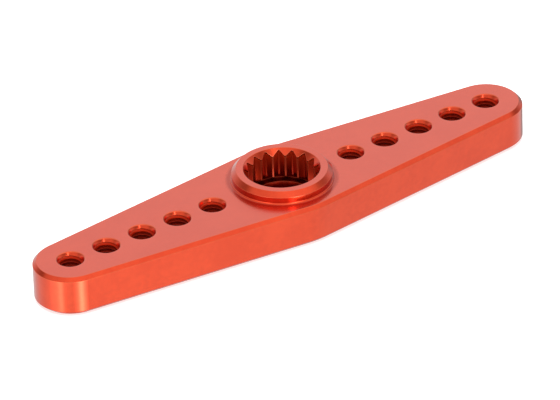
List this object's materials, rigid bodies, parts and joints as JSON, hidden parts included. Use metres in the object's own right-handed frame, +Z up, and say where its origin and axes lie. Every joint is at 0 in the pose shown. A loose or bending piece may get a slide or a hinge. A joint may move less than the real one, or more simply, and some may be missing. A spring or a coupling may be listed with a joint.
{
  "type": "servo horn",
  "caption": "Flat servo horn in anodised aluminium with an arm to each side, a raised serrated shaft socket in the middle and a row of tapped holes along each arm.",
  "frame": {"origin": "on the shaft socket's axis, in the plane of the flat underside, which is the side away from the servo", "axes": "+X along the arms, +Y across them, +Z up through the thickness, towards the boss and the open end of the socket"},
  "size_m": [0.069, 0.0154, 0.0065],
  "materials": {
    "anodised_aluminium": "orange anodised, satin"
  },
  "bodies": {
    "root": {"servo_horn": "anodised_aluminium"}
  },
  "joints": []
}
